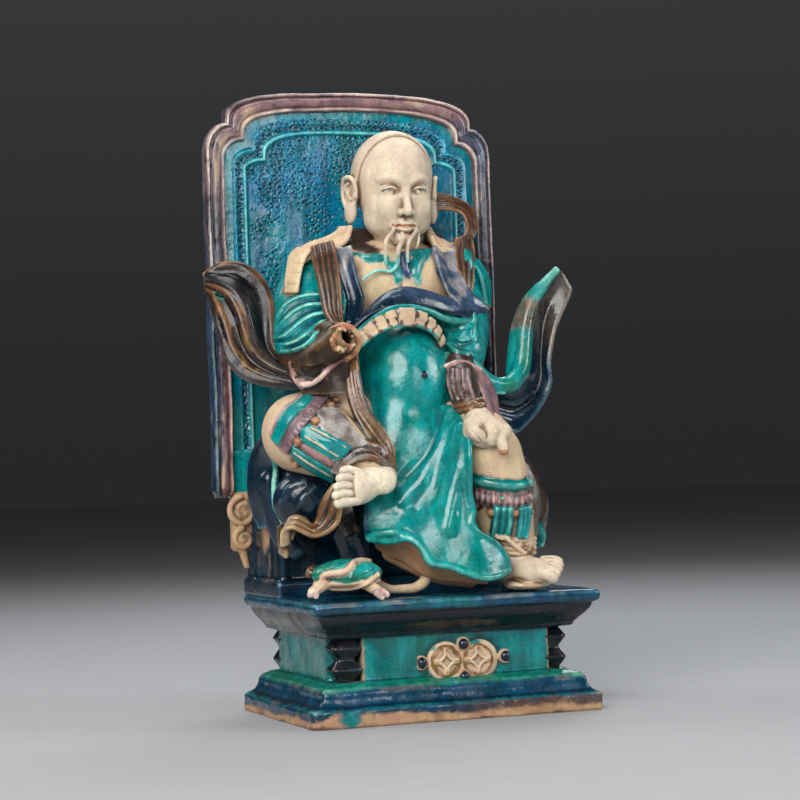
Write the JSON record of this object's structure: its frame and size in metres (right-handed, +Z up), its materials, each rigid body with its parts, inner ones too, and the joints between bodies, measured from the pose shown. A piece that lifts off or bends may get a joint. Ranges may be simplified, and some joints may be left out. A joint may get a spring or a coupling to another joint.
{
  "type": "glazed stoneware seated deity figure",
  "caption": "Seated robed deity on a high-backed throne over a moulded plinth, with a small tortoise and snake at the feet; one glazed stoneware piece, hollow and open underneath.",
  "frame": {"origin": "centre of the bounding box in plan, at the level the plinth stands on", "axes": "+Z up along the throne back, -Y towards the front of the figure, +X to the viewer's right"},
  "size_m": [0.29, 0.1971, 0.501],
  "materials": {
    "glazed_stoneware": "glossy turquoise, blue, brown and aubergine lead glazes on stoneware, with the head, hands and feet left as matte cream biscuit"
  },
  "bodies": {
    "root": {"stoneware_figure": "glazed_stoneware"}
  },
  "joints": []
}
